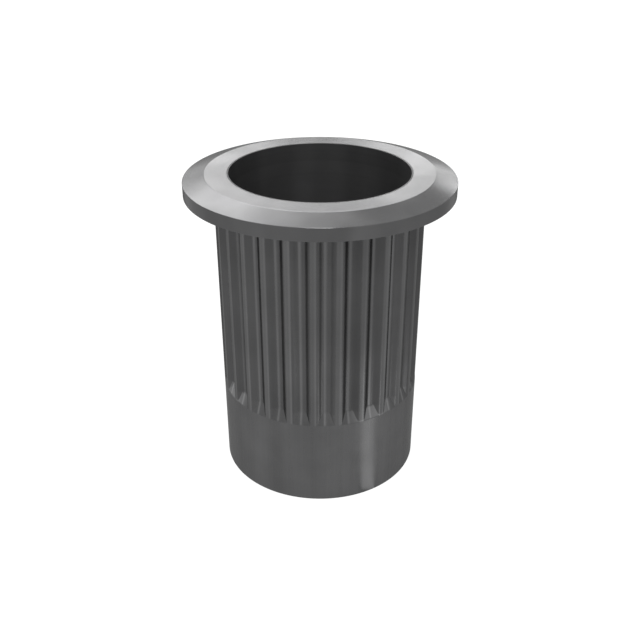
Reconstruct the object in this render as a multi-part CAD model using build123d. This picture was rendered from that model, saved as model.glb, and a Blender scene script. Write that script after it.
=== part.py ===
# Open-end rivet nut with a flat head and a ribbed shank, formed and tapped as one piece.
# The thin sleeve under the head collapses behind the sheet when the nut is set, and the thick
# lower part carries the thread. The thread is a plain bore here, at the thread's minor diameter.
# Millimetres. The origin is the centre of the open bottom end, and +Z runs up to the head.
from build123d import *
from build123d.topology import SkipClean
from math import radians, sqrt, tan
import os

os.makedirs("parts", exist_ok=True)

# Shank
overall_length = 17.0
shank_diameter = 11.0
edge_break = 0.05

# Head: a flat ring round the bore, then a shallow bevel down to the rim
head_diameter = 14.1
head_thickness = 1.0
head_bevel_width = 1.12
head_bevel_drop = 0.32

# Bore: the thin sleeve below the head, a cone, and the M8 x 1.25 thread with its open mouth
sleeve_bore_diameter = 9.38
shoulder_angle = 30.0
thread_length = 8.0
thread_minor_diameter = 6.65
thread_mouth_diameter = 8.2
thread_mouth_angle = 45.0

# Ribs, from the head down to the plain band, where the floor between them runs out
rib_count = 27
rib_height = 0.24
rib_crest_width = 0.21
rib_base_width = 1.02
plain_band_length = 4.86
runout_length = 0.75

shank_radius = shank_diameter / 2
floor_radius = shank_radius - rib_height
head_radius = head_diameter / 2
head_seat_height = overall_length - head_thickness
sleeve_bore_radius = sleeve_bore_diameter / 2
thread_minor_radius = thread_minor_diameter / 2
thread_mouth_radius = thread_mouth_diameter / 2
thread_mouth_depth = (thread_mouth_radius - thread_minor_radius) / tan(radians(thread_mouth_angle))
shoulder_height = (sleeve_bore_radius - thread_minor_radius) * tan(radians(shoulder_angle))

# One rib in section, on +X. Its crest lies on the shank's circle and its feet on the floor's
# circle. Each flank is an S that leaves one circle and joins the other without a corner, as the
# knurling roll presses it. The rib's root is sunk to the middle of the sleeve's wall.
crest_corner = (sqrt(shank_radius**2 - (rib_crest_width / 2) ** 2), rib_crest_width / 2)
foot_corner = (sqrt(floor_radius**2 - (rib_base_width / 2) ** 2), rib_base_width / 2)
root_corner = ((floor_radius + sleeve_bore_radius) / 2, rib_base_width / 2)
along_crest = (-crest_corner[1], crest_corner[0])
along_floor = (-foot_corner[1], foot_corner[0])
with BuildSketch() as rib_section:
    with BuildLine():
        upper_flank = Spline(crest_corner, foot_corner, tangents=(along_crest, along_floor))
        upper_root = Line(foot_corner, root_corner)
        lower_flank = mirror(upper_flank, about=Plane.XZ)
        lower_root = mirror(upper_root, about=Plane.XZ)
        ThreePointArc(upper_flank @ 0, (shank_radius, 0), lower_flank @ 0)
        Line(upper_root @ 1, lower_root @ 1)
    make_face()

# Faces that lie on one surface are kept apart, so the plain band and each rib crest, which share
# the shank's cylinder, stay faces of their own.
with SkipClean(), BuildPart() as rivet_nut:
    # The turned form, as half of its section, with the shank at floor level between the ribs
    with BuildSketch(Plane.XZ):
        with BuildLine():
            Polyline(
                (thread_mouth_radius, 0),
                (shank_radius - edge_break, 0),
                (shank_radius, edge_break),
                (shank_radius, plain_band_length),
                (floor_radius, plain_band_length + runout_length),
                (floor_radius, head_seat_height),
                (head_radius - edge_break, head_seat_height),
                (head_radius, head_seat_height + edge_break),
                (head_radius, overall_length - head_bevel_drop),
                (head_radius - head_bevel_width, overall_length),
                (sleeve_bore_radius, overall_length),
                (sleeve_bore_radius, thread_length + shoulder_height),
                (thread_minor_radius, thread_length),
                (thread_minor_radius, thread_mouth_depth),
                close=True,
            )
        make_face()
    revolve(axis=Axis.Z)

    # The ribs, from the top of the plain band up to the head
    with BuildSketch(Plane.XY.offset(plain_band_length)):
        with PolarLocations(0, rib_count):
            add(rib_section.sketch)
    extrude(amount=head_seat_height - plain_band_length)

rivet_nut.part.label = "rivet_nut"
export_step(rivet_nut.part, "parts/rivet_nut.step")
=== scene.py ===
import bmesh
import bpy
from math import asin, cos, hypot, pi, radians, sin, tan
from mathutils import Matrix, Vector


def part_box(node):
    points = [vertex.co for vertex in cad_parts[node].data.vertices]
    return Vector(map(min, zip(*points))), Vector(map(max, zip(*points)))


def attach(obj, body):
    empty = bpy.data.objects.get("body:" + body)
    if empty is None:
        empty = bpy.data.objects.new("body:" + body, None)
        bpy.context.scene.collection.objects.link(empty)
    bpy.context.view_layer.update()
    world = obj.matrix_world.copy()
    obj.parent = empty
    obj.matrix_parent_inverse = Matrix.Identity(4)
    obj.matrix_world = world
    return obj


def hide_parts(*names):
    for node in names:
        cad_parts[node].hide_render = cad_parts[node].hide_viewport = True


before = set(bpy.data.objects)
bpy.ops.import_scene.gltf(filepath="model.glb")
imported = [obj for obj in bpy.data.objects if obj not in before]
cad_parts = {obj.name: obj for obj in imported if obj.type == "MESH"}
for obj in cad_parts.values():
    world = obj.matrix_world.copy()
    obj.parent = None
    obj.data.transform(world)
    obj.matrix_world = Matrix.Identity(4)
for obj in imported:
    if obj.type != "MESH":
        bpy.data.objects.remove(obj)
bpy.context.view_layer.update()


# Shank, head and bore. One steel blank, cold headed and drilled, so its section is turned round the
# axis. The ribs are what the knurling roll leaves standing when it presses 27 grooves, and each
# groove runs out on a cone above the plain band.

# The nut is made in millimetres, and the finished mesh is scaled to metres.
MILLIMETRE = 0.001
ORIGIN = (0, 0, 0)
AXIS = (0, 0, 1)
TOUCHING = 0.001

node_low, node_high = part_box("rivet_nut")
overall_length = (node_high.z - node_low.z) / MILLIMETRE
head_radius = (node_high.x - node_low.x) / 2 / MILLIMETRE

shank_radius = 5.5
plain_band_length = 4.86
head_thickness = 1.0
head_bevel_width = 1.12
head_bevel_drop = 0.32
head_seat_height = overall_length - head_thickness
sleeve_bore_radius = 4.69
thread_length = 8.0
thread_minor_radius = 3.325
thread_mouth_radius = 4.1
shoulder_slope = tan(radians(30.0))
shoulder_height = (sleeve_bore_radius - thread_minor_radius) * shoulder_slope

rib_count = 27
rib_height = 0.24
rib_crest_width = 0.21
rib_base_width = 1.02
runout_length = 0.75
floor_radius = shank_radius - rib_height
runout_top_height = plain_band_length + runout_length
rib_pitch = 2 * pi / rib_count
crest_half_angle = asin(rib_crest_width / 2 / shank_radius)
foot_half_angle = asin(rib_base_width / 2 / floor_radius)

# The section stops short of the thread at both ends, where the tapped bore is sewn in.
mouth_seam_gap = 0.025
shoulder_seam_rise = 0.5
seam_at_mouth = (thread_mouth_radius - mouth_seam_gap, mouth_seam_gap)
seam_at_shoulder = (
    thread_minor_radius + shoulder_seam_rise / shoulder_slope,
    thread_length + shoulder_seam_rise,
)

half_section = [
    seam_at_mouth,
    (thread_mouth_radius, 0),
    (shank_radius, 0),
    (shank_radius, plain_band_length),
    (shank_radius, runout_top_height),
    (shank_radius, head_seat_height),
    (head_radius, head_seat_height),
    (head_radius, overall_length - head_bevel_drop),
    (head_radius - head_bevel_width, overall_length),
    (sleeve_bore_radius, overall_length),
    (sleeve_bore_radius, thread_length + shoulder_height),
    seam_at_shoulder,
]

nut = bmesh.new()
section_points = [nut.verts.new((radius, 0, height)) for radius, height in half_section]
section_edges = [nut.edges.new(pair) for pair in zip(section_points, section_points[1:])]

# One rib pitch, from the middle of a crest to the middle of the next, turned span by span.
crest_steps = 2
flank_steps = 16
floor_steps = 2
groove_floor_angle = rib_pitch - 2 * foot_half_angle
flank_angle = foot_half_angle - crest_half_angle
pitch_spans = [
    (crest_half_angle, crest_steps),
    (flank_angle, flank_steps),
    (groove_floor_angle, floor_steps),
    (flank_angle, flank_steps),
    (crest_half_angle, crest_steps),
]
last_row = section_points + section_edges
for span, steps in pitch_spans:
    turned = bmesh.ops.spin(
        nut,
        geom=last_row,
        cent=ORIGIN,
        axis=AXIS,
        dvec=ORIGIN,
        angle=span,
        space=Matrix(),
        steps=steps,
    )
    last_row = turned["geom_last"]

# The share of a flank's width over which each of its ends bends.
flank_rounding = 0.4


def rib_section_radius(angle):
    """Radius of the ribbed outline at an angle from the middle of the nearest crest."""
    share = (angle - crest_half_angle) / (foot_half_angle - crest_half_angle)
    share = min(max(share, 0), 1)
    rounded_ends = 2 * flank_rounding * (1 - flank_rounding)
    if share < flank_rounding:
        depth_share = share**2 / rounded_ends
    elif share > 1 - flank_rounding:
        depth_share = 1 - (1 - share) ** 2 / rounded_ends
    else:
        depth_share = (share - flank_rounding / 2) / (1 - flank_rounding)
    return shank_radius - rib_height * depth_share


# The groove is pressed in: the run-out row and the row under the head go down to the rib's outline.
for vert in nut.verts:
    radius = hypot(vert.co.x, vert.co.y)
    at_runout = abs(vert.co.z - runout_top_height) < TOUCHING
    at_seat = abs(vert.co.z - head_seat_height) < TOUCHING and radius < shank_radius + TOUCHING
    if not (at_runout or at_seat):
        continue
    angle = Vector((vert.co.x, vert.co.y)).angle_signed(Vector((1, 0)))
    outline_radius = rib_section_radius(min(angle, rib_pitch - angle))
    vert.co.x *= outline_radius / radius
    vert.co.y *= outline_radius / radius
    if at_runout:
        depth = shank_radius - outline_radius
        vert.co.z = plain_band_length + runout_length * depth / rib_height

bmesh.ops.spin(
    nut,
    geom=nut.verts[:] + nut.edges[:] + nut.faces[:],
    cent=ORIGIN,
    axis=AXIS,
    dvec=ORIGIN,
    angle=rib_pitch * (rib_count - 1),
    space=Matrix(),
    steps=rib_count - 1,
    use_duplicate=True,
)
bmesh.ops.remove_doubles(nut, verts=nut.verts, dist=TOUCHING)
bmesh.ops.recalc_face_normals(nut, faces=nut.faces)

# The outer edges are broken by tumbling, and the inner corners stay sharp. The edges on top of the
# head, which a tool faced last, are broken the least.
edge_break = 0.045
faced_edge_break = 0.018
edge_angle = radians(12)
below_nut = -1
above_nut = overall_length + 1
top_of_rim = overall_length - head_bevel_drop - TOUCHING
worn = nut.faces.layers.float.new("worn_edge")


def outer_edges(low, high):
    """The edges between two heights that stand out, apart from the ribs' own."""
    found = []
    for edge in nut.edges:
        if not edge.is_manifold:
            continue
        middle = (edge.verts[0].co + edge.verts[1].co) / 2
        is_rib_edge = plain_band_length - TOUCHING < middle.z < head_seat_height - TOUCHING
        is_rib_edge = is_rib_edge and hypot(middle.x, middle.y) > sleeve_bore_radius + TOUCHING
        stands_out = edge.calc_face_angle_signed() > edge_angle
        if low < middle.z < high and stands_out and not is_rib_edge:
            found.append(edge)
    return found


edge_breaks = [
    (top_of_rim, above_nut, faced_edge_break),
    (below_nut, top_of_rim, edge_break),
]
for low, high, size in edge_breaks:
    broken = bmesh.ops.bevel(
        nut,
        geom=outer_edges(low, high),
        offset=size,
        offset_type="OFFSET",
        affect="EDGES",
        segments=3,
        profile=0.5,
        material=-1,
        clamp_overlap=True,
    )
    for face in broken["faces"]:
        face[worn] = 1.0


# Thread. M8 x 1.25, tapped right through the thick lower part of the same steel. A 45 degree mouth
# opens it below, and its turns fade out in the shoulder's cone above.
thread_pitch = 1.25
thread_major_radius = 4.0
thread_depth = thread_major_radius - thread_minor_radius
thread_crest_flat = thread_pitch / 4
thread_root_flat = thread_pitch / 8
thread_flank_length = (thread_pitch - thread_crest_flat - thread_root_flat) / 2
thread_root_end = thread_crest_flat + thread_flank_length + thread_root_flat
thread_flank_steps = 4

turn_profile = [(thread_minor_radius, 0.0), (thread_minor_radius, thread_crest_flat)]
for step in range(1, thread_flank_steps + 1):
    share = step / thread_flank_steps
    radius = thread_minor_radius + share * thread_depth
    turn_profile.append((radius, thread_crest_flat + share * thread_flank_length))
turn_profile.append((thread_major_radius, thread_root_end))
for step in range(1, thread_flank_steps):
    share = step / thread_flank_steps
    radius = thread_major_radius - share * thread_depth
    turn_profile.append((radius, thread_root_end + share * thread_flank_length))

# The tap runs from two turns below the nut to above the shoulder, and what stands over is cut off.
first_turn = -2
last_turn = 7
tap_columns = 180
tap = bmesh.new()
tap_points = []
for turn in range(first_turn, last_turn + 1):
    for radius, height in turn_profile:
        tap_points.append(tap.verts.new((radius, 0, height + turn * thread_pitch)))
tap_edges = [tap.edges.new(pair) for pair in zip(tap_points, tap_points[1:])]
bmesh.ops.spin(
    tap,
    geom=tap_points + tap_edges,
    cent=ORIGIN,
    axis=AXIS,
    dvec=(0, 0, thread_pitch / tap_columns),
    angle=2 * pi,
    space=Matrix(),
    steps=tap_columns,
)
bmesh.ops.remove_doubles(tap, verts=tap.verts, dist=TOUCHING)
for vert in tap.verts:
    radius = hypot(vert.co.x, vert.co.y)
    mouth_radius = thread_mouth_radius - vert.co.z
    shoulder_radius = thread_minor_radius + (vert.co.z - thread_length) / shoulder_slope
    opened = max(radius, mouth_radius, shoulder_radius)
    vert.co.x *= opened / radius
    vert.co.y *= opened / radius

mouth_cut = 2 * mouth_seam_gap
shoulder_cut_rise = 0.45
shoulder_cut = thread_length + shoulder_cut_rise
for height, normal in ((mouth_cut, (0, 0, -1)), (shoulder_cut, (0, 0, 1))):
    bmesh.ops.bisect_plane(
        tap,
        geom=tap.verts[:] + tap.edges[:] + tap.faces[:],
        dist=TOUCHING / 10,
        plane_co=(0, 0, height),
        plane_no=normal,
        clear_outer=True,
    )

# The tapped bore is joined to the turned section by a narrow strip at each end.
thread_mesh = bpy.data.meshes.new("tapped_bore")
tap.to_mesh(thread_mesh)
tap.free()
nut.from_mesh(thread_mesh)
bpy.data.meshes.remove(thread_mesh)
for low, high in ((0, mouth_cut), (shoulder_cut, seam_at_shoulder[1])):
    rims = []
    for edge in nut.edges:
        middle = (edge.verts[0].co.z + edge.verts[1].co.z) / 2
        if edge.is_boundary and low - TOUCHING < middle < high + TOUCHING:
            rims.append(edge)
    bmesh.ops.bridge_loops(nut, edges=rims)
bmesh.ops.recalc_face_normals(nut, faces=nut.faces)

sharp_corner = radians(14)
for face in nut.faces:
    face.smooth = True
for edge in nut.edges:
    edge.smooth = not (edge.is_manifold and edge.calc_face_angle() > sharp_corner)
nut_mesh = bpy.data.meshes.new("nut_body")
nut.to_mesh(nut_mesh)
nut.free()

# The shading is evened out while the mesh is in millimetres, because the modifier takes the faces of
# so small a part for nothing in metres.
nut_blank = bpy.data.objects.new("nut_blank", nut_mesh)
bpy.context.collection.objects.link(nut_blank)
even_shading = nut_blank.modifiers.new("even_shading", "WEIGHTED_NORMAL")
even_shading.keep_sharp = True
evened = nut_blank.evaluated_get(bpy.context.evaluated_depsgraph_get())
nut_mesh = bpy.data.meshes.new_from_object(evened)
bpy.data.objects.remove(nut_blank)
nut_mesh.name = "nut_body"
nut_mesh.transform(Matrix.Scale(MILLIMETRE, 4))
nut_body = bpy.data.objects.new("nut_body", nut_mesh)
bpy.context.collection.objects.link(nut_body)


# Dark plated steel, the finish of the whole nut. The plating is thin and takes on every mark of the
# tools below it: turning marks on the head, drawn streaks on the shank, drilling marks in the bore.
# Its colour also carries painted highlights on the ribs and cones and painted shade on the groove
# walls.
plating_tone = (0.0915, 0.0915, 0.0925)
steel = bpy.data.materials.new("plated_steel")
steel.use_nodes = True
steel_nodes = steel.node_tree.nodes
steel_links = steel.node_tree.links
steel_shader = steel_nodes["Principled BSDF"]
steel_shader.inputs["Specular Tint"].default_value = (0.6, 0.6, 0.6, 1)
steel_shader.inputs["Specular IOR Level"].default_value = 0.0


def plug(socket, value):
    """Give a node's socket a number, a vector or another node's output."""
    if isinstance(value, bpy.types.NodeSocket):
        steel_links.new(value, socket)
    else:
        socket.default_value = value


def reckon(operation, *values):
    """The result of one sum or function on numbers or other nodes' outputs."""
    node = steel_nodes.new("ShaderNodeMath")
    node.operation = operation
    for place, value in enumerate(values):
        plug(node.inputs[place], value)
    return node.outputs[0]


def rise_between(value, start, end, low=0.0, high=1.0):
    """Goes softly from low to high while the value goes from start to end."""
    node = steel_nodes.new("ShaderNodeMapRange")
    node.interpolation_type = "SMOOTHSTEP"
    plug(node.inputs["Value"], value)
    plug(node.inputs["From Min"], start)
    plug(node.inputs["From Max"], end)
    plug(node.inputs["To Min"], low)
    plug(node.inputs["To Max"], high)
    return node.outputs["Result"]


def between(value, start, full, fading, end):
    """A band that rises from start to full and falls again from fading to end."""
    return reckon("MULTIPLY", rise_between(value, start, full), rise_between(value, end, fading))


def chosen(mask, outside, inside):
    """The one value where the mask is 0 and the other where it is 1."""
    return rise_between(mask, 0.0, 1.0, outside, inside)


def changed_by(share, mask, value):
    """The value, raised by a share of itself where the mask lies, or lowered by a negative one."""
    return reckon("MULTIPLY_ADD", reckon("MULTIPLY", mask, value), share, value)


def stretched(vector, amounts):
    """A place with its three measures multiplied, which draws a pattern out."""
    node = steel_nodes.new("ShaderNodeVectorMath")
    node.operation = "MULTIPLY"
    plug(node.inputs[0], vector)
    plug(node.inputs[1], amounts)
    return node.outputs["Vector"]


def along_only(measure):
    """A place that changes with one measure alone."""
    node = steel_nodes.new("ShaderNodeCombineXYZ")
    plug(node.inputs["X"], measure)
    return node.outputs["Vector"]


def mottle(vector, scale, detail):
    """Soft random light and dark, around 0.5."""
    node = steel_nodes.new("ShaderNodeTexNoise")
    plug(node.inputs["Vector"], vector)
    node.inputs["Scale"].default_value = scale
    node.inputs["Detail"].default_value = detail
    return node.outputs["Fac"]


def blended(mask, outside, inside):
    """One pattern where the mask is 0 and another where it is 1."""
    node = steel_nodes.new("ShaderNodeMix")
    plug(node.inputs["Factor"], mask)
    plug(node.inputs["A"], outside)
    plug(node.inputs["B"], inside)
    return node.outputs["Result"]


coordinates = steel_nodes.new("ShaderNodeTexCoord")
to_millimetres = (1 / MILLIMETRE, 1 / MILLIMETRE, 1 / MILLIMETRE)
place_mm = stretched(coordinates.outputs["Object"], to_millimetres)
measures = steel_nodes.new("ShaderNodeSeparateXYZ")
plug(measures.inputs["Vector"], place_mm)
height_mm = measures.outputs["Z"]
turn_angle = reckon("ARCTAN2", measures.outputs["Y"], measures.outputs["X"])
flat_length = steel_nodes.new("ShaderNodeVectorMath")
flat_length.operation = "LENGTH"
plug(flat_length.inputs[0], stretched(place_mm, (1, 1, 0)))
radius_mm = flat_length.outputs["Value"]

# Where each finish lies
on_head = rise_between(height_mm, head_seat_height - 0.01, head_seat_height + 0.01)
below_head = reckon("SUBTRACT", 1.0, on_head)
in_bore = rise_between(radius_mm, sleeve_bore_radius + 0.12, sleeve_bore_radius + 0.06)
outside_bore = reckon("SUBTRACT", 1.0, in_bore)
above_band = rise_between(height_mm, plain_band_length - 0.02, plain_band_length + 0.08)
on_ribs = reckon("MULTIPLY", above_band, reckon("MULTIPLY", below_head, outside_bore))
edge_mark = steel_nodes.new("ShaderNodeAttribute")
edge_mark.attribute_name = "worn_edge"
on_edge = edge_mark.outputs["Fac"]

# Painted highlights: a bright line on one side of each crest and of each groove's floor, and short
# bright bits on the run-out cones, stand in for the highlight of light from the right. They are
# weaker under the head. The groove's walls get painted shade, and their steel is duller and less
# metallic too. The four numbers of each mark say where it starts, is full, fades and ends. They are
# shares of a pitch, from the middle of a floor for the crest's mark and from the middle of a crest
# for the others. Heights have four numbers in the same way, in millimetres.
crest_highlight = (0.48, 0.575, 0.58, 0.61)
floor_highlight = (0.395, 0.435, 0.45, 0.53)
runout_highlight = (0.39, 0.44, 0.47, 0.53)
last_wall = (0.08, 0.15, 0.36, 0.42)
first_wall = (0.46, 0.58, 0.83, 0.91)
runout_heights = (plain_band_length, plain_band_length + 0.12, 5.45, 5.65)

turn_in_pitches = reckon("DIVIDE", turn_angle, rib_pitch)
share_from_crest = reckon("FRACT", turn_in_pitches)
share_from_floor = reckon("FRACT", reckon("ADD", turn_in_pitches, 0.5))
on_runout = reckon("MULTIPLY", between(height_mm, *runout_heights), outside_bore)

floor_highlight_strength = 0.8
runout_highlight_strength = 0.7
highlight_left_under_head = 0.45
full_highlight_height = plain_band_length + 1.0
painted_highlight_crest = between(share_from_floor, *crest_highlight)
painted_highlight_floor = between(share_from_crest, *floor_highlight)
painted_highlight = reckon("MULTIPLY_ADD", painted_highlight_floor, floor_highlight_strength, painted_highlight_crest)
highlight_fade = rise_between(height_mm, head_seat_height, full_highlight_height, highlight_left_under_head, 1.0)
painted_highlight = reckon("MULTIPLY", painted_highlight, reckon("MULTIPLY", on_ribs, highlight_fade))
painted_highlight_runout = reckon("MULTIPLY", on_runout, between(share_from_crest, *runout_highlight))
painted_highlight = reckon("MULTIPLY_ADD", painted_highlight_runout, runout_highlight_strength, painted_highlight)

# Painted shade on the groove walls, weaker on the run-outs. The walls are also duller and less
# metallic
wall_left_on_runout = 0.65
walls = reckon("ADD", between(share_from_crest, *last_wall), between(share_from_crest, *first_wall))
wall_strength = chosen(on_runout, 1.0, wall_left_on_runout)
wall_shade_and_dullness = reckon("MULTIPLY", reckon("MULTIPLY", walls, on_ribs), wall_strength)

# Painted highlight: the small cone at the foot of each groove is painted bright in four places round
# the nut, as if a lamp at the side lit it. The walls' painted shade is left off there. The mark is
# full on the cone's surface and ends a hair off it.
cone_highlights_per_turn = 4.0
cone_highlight_start = radians(240)
cone_heights = (plain_band_length - 0.02, plain_band_length + 0.08, 5.45, 5.63)
full_within_gap = 0.01
none_beyond_gap = 0.035
cone_slope = -rib_height / runout_length
cone_radius_at_foot = floor_radius - cone_slope * runout_top_height
cone_radius = reckon("MULTIPLY_ADD", height_mm, cone_slope, cone_radius_at_foot)
off_cone = reckon("ABSOLUTE", reckon("SUBTRACT", radius_mm, cone_radius))
at_cone_height = between(height_mm, *cone_heights)
on_cone = reckon("MULTIPLY", rise_between(off_cone, none_beyond_gap, full_within_gap), at_cone_height)
cone_highlight_wave = reckon("COSINE", reckon("MULTIPLY_ADD", turn_angle, cone_highlights_per_turn, cone_highlight_start))
painted_cone_highlight = reckon("MULTIPLY", on_cone, rise_between(cone_highlight_wave, 0.4, 1.0))
wall_shade_and_dullness = reckon("MULTIPLY", wall_shade_and_dullness, reckon("SUBTRACT", 1.0, painted_cone_highlight))

# Marks of the tools, and the broader unevenness of the plating bath
streaks = mottle(stretched(place_mm, (1, 1, 0.02)), scale=7.0, detail=3.0)
turning_marks = mottle(along_only(radius_mm), scale=28.0, detail=2.0)
drilling_marks = mottle(along_only(height_mm), scale=6.0, detail=4.0)
clouds = mottle(place_mm, scale=0.5, detail=3.0)
broad_streaks = mottle(stretched(place_mm, (1, 1, 0.03)), scale=0.5, detail=1.0)
grain = mottle(place_mm, scale=22.0, detail=2.0)
tool_marks = blended(in_bore, blended(on_head, streaks, turning_marks), drilling_marks)

head_shade = 0.93
painted_wall_shade = -0.1
painted_highlight_change = 0.27
cone_highlight_change = 0.75
edge_change = 0.3
shade = rise_between(tool_marks, 0.25, 0.75, 0.97, 1.03)
shade = reckon("MULTIPLY", shade, rise_between(clouds, 0.3, 0.7, 0.95, 1.05))
shade = reckon("MULTIPLY", shade, rise_between(broad_streaks, 0.3, 0.7, 1.12, 0.88))
# Painted shade on the groove walls
shade = changed_by(painted_wall_shade, wall_shade_and_dullness, shade)
shade = reckon("MULTIPLY", shade, chosen(on_head, 1.0, head_shade))
# Painted highlights on the crests, the groove floors and the run-outs
shade = changed_by(painted_highlight_change, painted_highlight, shade)
# Painted highlight on the four bright stretches of cones
shade = changed_by(cone_highlight_change, painted_cone_highlight, shade)
shade = changed_by(edge_change, on_edge, shade)
plating_colour = steel_nodes.new("ShaderNodeVectorMath")
plating_colour.operation = "SCALE"
plating_colour.inputs[0].default_value = plating_tone
plug(plating_colour.inputs["Scale"], shade)
plug(steel_shader.inputs["Base Color"], plating_colour.outputs["Vector"])

dullness = rise_between(tool_marks, 0.25, 0.75, 0.21, 0.26)
dullness = reckon("ADD", dullness, rise_between(grain, 0.3, 0.7, -0.015, 0.015))
added_dullness = [
    (below_head, 0.06),
    (wall_shade_and_dullness, 0.04),
    (in_bore, 0.12),
    (on_edge, -0.04),
]
for mask, amount in added_dullness:
    dullness = reckon("MULTIPLY_ADD", mask, amount, dullness)
plug(steel_shader.inputs["Roughness"], dullness)

# Seen along the surface, a thin oil film swallows most of the mirror's glare. Of each pair of
# numbers, the first is for the shank and the second for the head.
glancing = steel_nodes.new("ShaderNodeLayerWeight")
glancing.inputs["Blend"].default_value = 0.5
film_start = chosen(on_head, 0.5, 0.69)
film_end = chosen(on_head, 0.9, 0.93)
metal_under_film = chosen(on_head, 0.45, 0.25)
metal_lost_on_wall = 0.32
metal_in_bore = 0.4
metal = rise_between(glancing.outputs["Facing"], film_start, film_end, 1.0, metal_under_film)
metal = reckon("MULTIPLY", metal, reckon("MULTIPLY_ADD", wall_shade_and_dullness, -metal_lost_on_wall, 1.0))
plug(steel_shader.inputs["Metallic"], chosen(in_bore, metal, metal_in_bore))

mark_depth = 0.0006 * MILLIMETRE
head_mark_share = 0.2
mark_height = reckon("MULTIPLY", tool_marks, chosen(on_head, 1.0, head_mark_share))
mark_relief = steel_nodes.new("ShaderNodeBump")
mark_relief.inputs["Strength"].default_value = 0.5
mark_relief.inputs["Distance"].default_value = mark_depth
plug(mark_relief.inputs["Height"], mark_height)
plug(steel_shader.inputs["Normal"], mark_relief.outputs["Normal"])
nut_mesh.materials.append(steel)

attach(nut_body, "root")
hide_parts("rivet_nut")


# Floor. A plain white sheet that keeps the nut's shadow. It lies a hair under the nut's foot, and
# from below it is seen through, so that the nut's underside can be looked at.
floor_half_side = 1.2
floor_drop = 0.01 * MILLIMETRE
floor_glow = 0.955
floor_mesh = bpy.data.meshes.new("floor")
sheet = bmesh.new()
bmesh.ops.create_grid(
    sheet,
    x_segments=1,
    y_segments=1,
    size=floor_half_side,
    matrix=Matrix.Translation((0, 0, -floor_drop)),
)
sheet.to_mesh(floor_mesh)
sheet.free()
floor = bpy.data.objects.new("floor", floor_mesh)
bpy.context.collection.objects.link(floor)

floor_paint = bpy.data.materials.new("white_floor")
floor_paint.use_nodes = True
floor_nodes = floor_paint.node_tree.nodes
floor_links = floor_paint.node_tree.links
floor_shader = floor_nodes["Principled BSDF"]
floor_shader.inputs["Base Color"].default_value = (0.15, 0.15, 0.15, 1)
floor_shader.inputs["Roughness"].default_value = 1.0
floor_shader.inputs["Specular IOR Level"].default_value = 0.0
floor_shader.inputs["Emission Color"].default_value = (1, 1, 1, 1)
floor_mesh.materials.append(floor_paint)


def seen_directly(nodes, links):
    """1 where a camera, mirror or glass ray meets the surface, 0 for the light that it gives."""
    path = nodes.new("ShaderNodeLightPath")
    seen = path.outputs["Is Camera Ray"]
    for ray in ("Is Glossy Ray", "Is Transmission Ray"):
        either = nodes.new("ShaderNodeMath")
        either.operation = "MAXIMUM"
        links.new(seen, either.inputs[0])
        links.new(path.outputs[ray], either.inputs[1])
        seen = either.outputs[0]
    return seen


glow = floor_nodes.new("ShaderNodeMath")
glow.operation = "MULTIPLY"
glow.inputs[1].default_value = floor_glow
floor_links.new(seen_directly(floor_nodes, floor_links), glow.inputs[0])
floor_links.new(glow.outputs[0], floor_shader.inputs["Emission Strength"])

sheet_side = floor_nodes.new("ShaderNodeNewGeometry")
clear = floor_nodes.new("ShaderNodeBsdfTransparent")
white_or_clear = floor_nodes.new("ShaderNodeMixShader")
floor_output = floor_nodes["Material Output"]
floor_links.new(sheet_side.outputs["Backfacing"], white_or_clear.inputs["Fac"])
floor_links.new(floor_shader.outputs["BSDF"], white_or_clear.inputs[1])
floor_links.new(clear.outputs["BSDF"], white_or_clear.inputs[2])
floor_links.new(white_or_clear.outputs["Shader"], floor_output.inputs["Surface"])


# Studio. An even pale room, with soft lamps behind and above the nut that its head mirrors, and one
# in front that reaches into its bore.
room_light = 0.27
room = bpy.data.worlds.new("room")
room.use_nodes = True
bpy.context.scene.world = room
room_nodes = room.node_tree.nodes
room_links = room.node_tree.links
room_strength = room_nodes.new("ShaderNodeMapRange")
room_strength.inputs["To Min"].default_value = room_light
room_strength.inputs["To Max"].default_value = 1.0
room_links.new(seen_directly(room_nodes, room_links), room_strength.inputs["Value"])
room_nodes["Background"].inputs["Color"].default_value = (1, 1, 1, 1)
room_links.new(room_strength.outputs["Result"], room_nodes["Background"].inputs["Strength"])


def panel_light(name, width, length, brightness):
    """A rectangular area light that shines as brightly as a surface of that brightness."""
    panel = bpy.data.lights.new(name, "AREA")
    panel.shape = "RECTANGLE"
    panel.size = width
    panel.size_y = length
    panel.energy = brightness * pi * width * length
    panel_object = bpy.data.objects.new(name, panel)
    panel_object.visible_camera = False
    bpy.context.collection.objects.link(panel_object)
    return panel_object


head_centre = Vector((0, 0, overall_length * MILLIMETRE))
lamp_distance = 0.3


def soft_lamp(name, turn, rise, width, height, brightness):
    """A lamp aimed at the head. Turn 0 is behind the nut and 90 on its right, in degrees."""
    turn = radians(turn)
    rise = radians(rise)
    way = Vector((sin(turn) * cos(rise), cos(turn) * cos(rise), sin(rise)))
    lamp = panel_light(name, width, height, brightness)
    lamp.location = head_centre + way * lamp_distance
    lamp.rotation_euler = way.to_track_quat("Z", "Y").to_euler()


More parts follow.
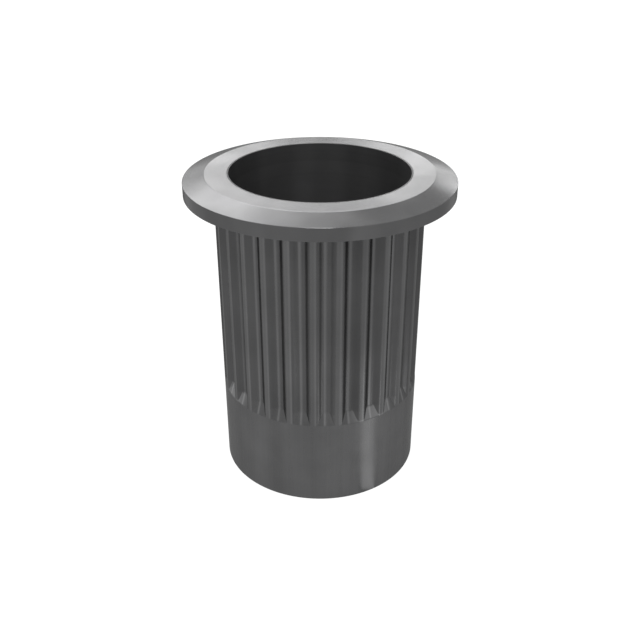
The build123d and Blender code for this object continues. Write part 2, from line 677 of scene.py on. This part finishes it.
# Turn and rise, width and height, brightness
soft_lamp("top_left_lamp", -13.5, 53.5, 0.141, 0.0525, 2.6)
soft_lamp("high_left_lamp", -18, 42.7, 0.215, 0.060, 6.2)
soft_lamp("middle_left_lamp", -28, 31.9, 0.146, 0.050, 6.4)
soft_lamp("middle_lamp", -2, 31.9, 0.0898, 0.0536, 5.8)
soft_lamp("high_right_lamp", 26, 41, 0.147, 0.139, 0.75)
soft_lamp("back_left_lamp", -7.5, 18, 0.045, 0.042, 6.5)
soft_lamp("back_right_lamp", 7.5, 18, 0.045, 0.042, 6.9)
soft_lamp("back_middle_lamp", 0, 20, 0.029, 0.021, 6.8)
soft_lamp("outer_left_lamp", -25, 21, 0.049, 0.074, 3.6)
soft_lamp("outer_right_lamp", 25, 18, 0.050, 0.042, 8.2)
soft_lamp("low_left_lamp", -13.5, 10, 0.067, 0.042, 2.3)
soft_lamp("low_right_lamp", 13.5, 10, 0.067, 0.042, 4.9)
soft_lamp("front_lamp", 180, 50, 0.1, 0.1, 13)


# Floor strips. Two rows of strip lights lie face up in front of the nut, and the shank mirrors them
# as an upright highlight and the dim glow beside it.
strip_height = 0.02 * MILLIMETRE
nearest_strip = 0.05 * MILLIMETRE
strips_in_row = 8
fade_step = 0.82


def strip_row(name, turn, near_width, widening, brightness):
    """Strips end to end, each twice as long as the last, that fade towards the nut's foot."""
    turned = Matrix.Rotation(turn, 4, "Z")
    face_up = (turned @ Matrix.Rotation(pi, 4, "Y")).to_euler()
    way = turned @ Vector((0, -1, 0))
    at_wall = Vector((0, -shank_radius * MILLIMETRE, strip_height))
    foot = Matrix.Rotation(turn / 2, 4, "Z") @ at_wall
    start = nearest_strip
    for number in range(1, strips_in_row + 1):
        end = start * 2
        middle = (start + end) / 2
        fade = 1 - fade_step**number
        width = near_width + widening * middle
        strip = panel_light(f"{name}_{number}", width, end - start, brightness * fade)
        strip.location = foot + way * middle
        strip.rotation_euler = face_up
        start = end


strip_row("bright_strip", radians(58), 0.0007, 0.26, 2.0)
strip_row("dim_strip", radians(36), 0.0009, 0.30, 0.28)


# Camera. A normal lens close by looks down on the nut from in front, so that the ring and bevel of
# its head and the whole ribbed shank are in view.
camera_data = bpy.data.cameras.new("camera")
camera_data.sensor_width = 36
camera_data.lens = 47.21
camera_data.clip_start = 0.001
camera = bpy.data.objects.new("camera", camera_data)
camera.location = Vector((0, -41.50, 30.78)) * MILLIMETRE
aim = Vector((0, 0, 8.243)) * MILLIMETRE
camera.rotation_euler = (camera.location - aim).to_track_quat("Z", "Y").to_euler()
bpy.context.collection.objects.link(camera)
bpy.context.scene.camera = camera
bpy.context.scene.view_settings.view_transform = "Standard"
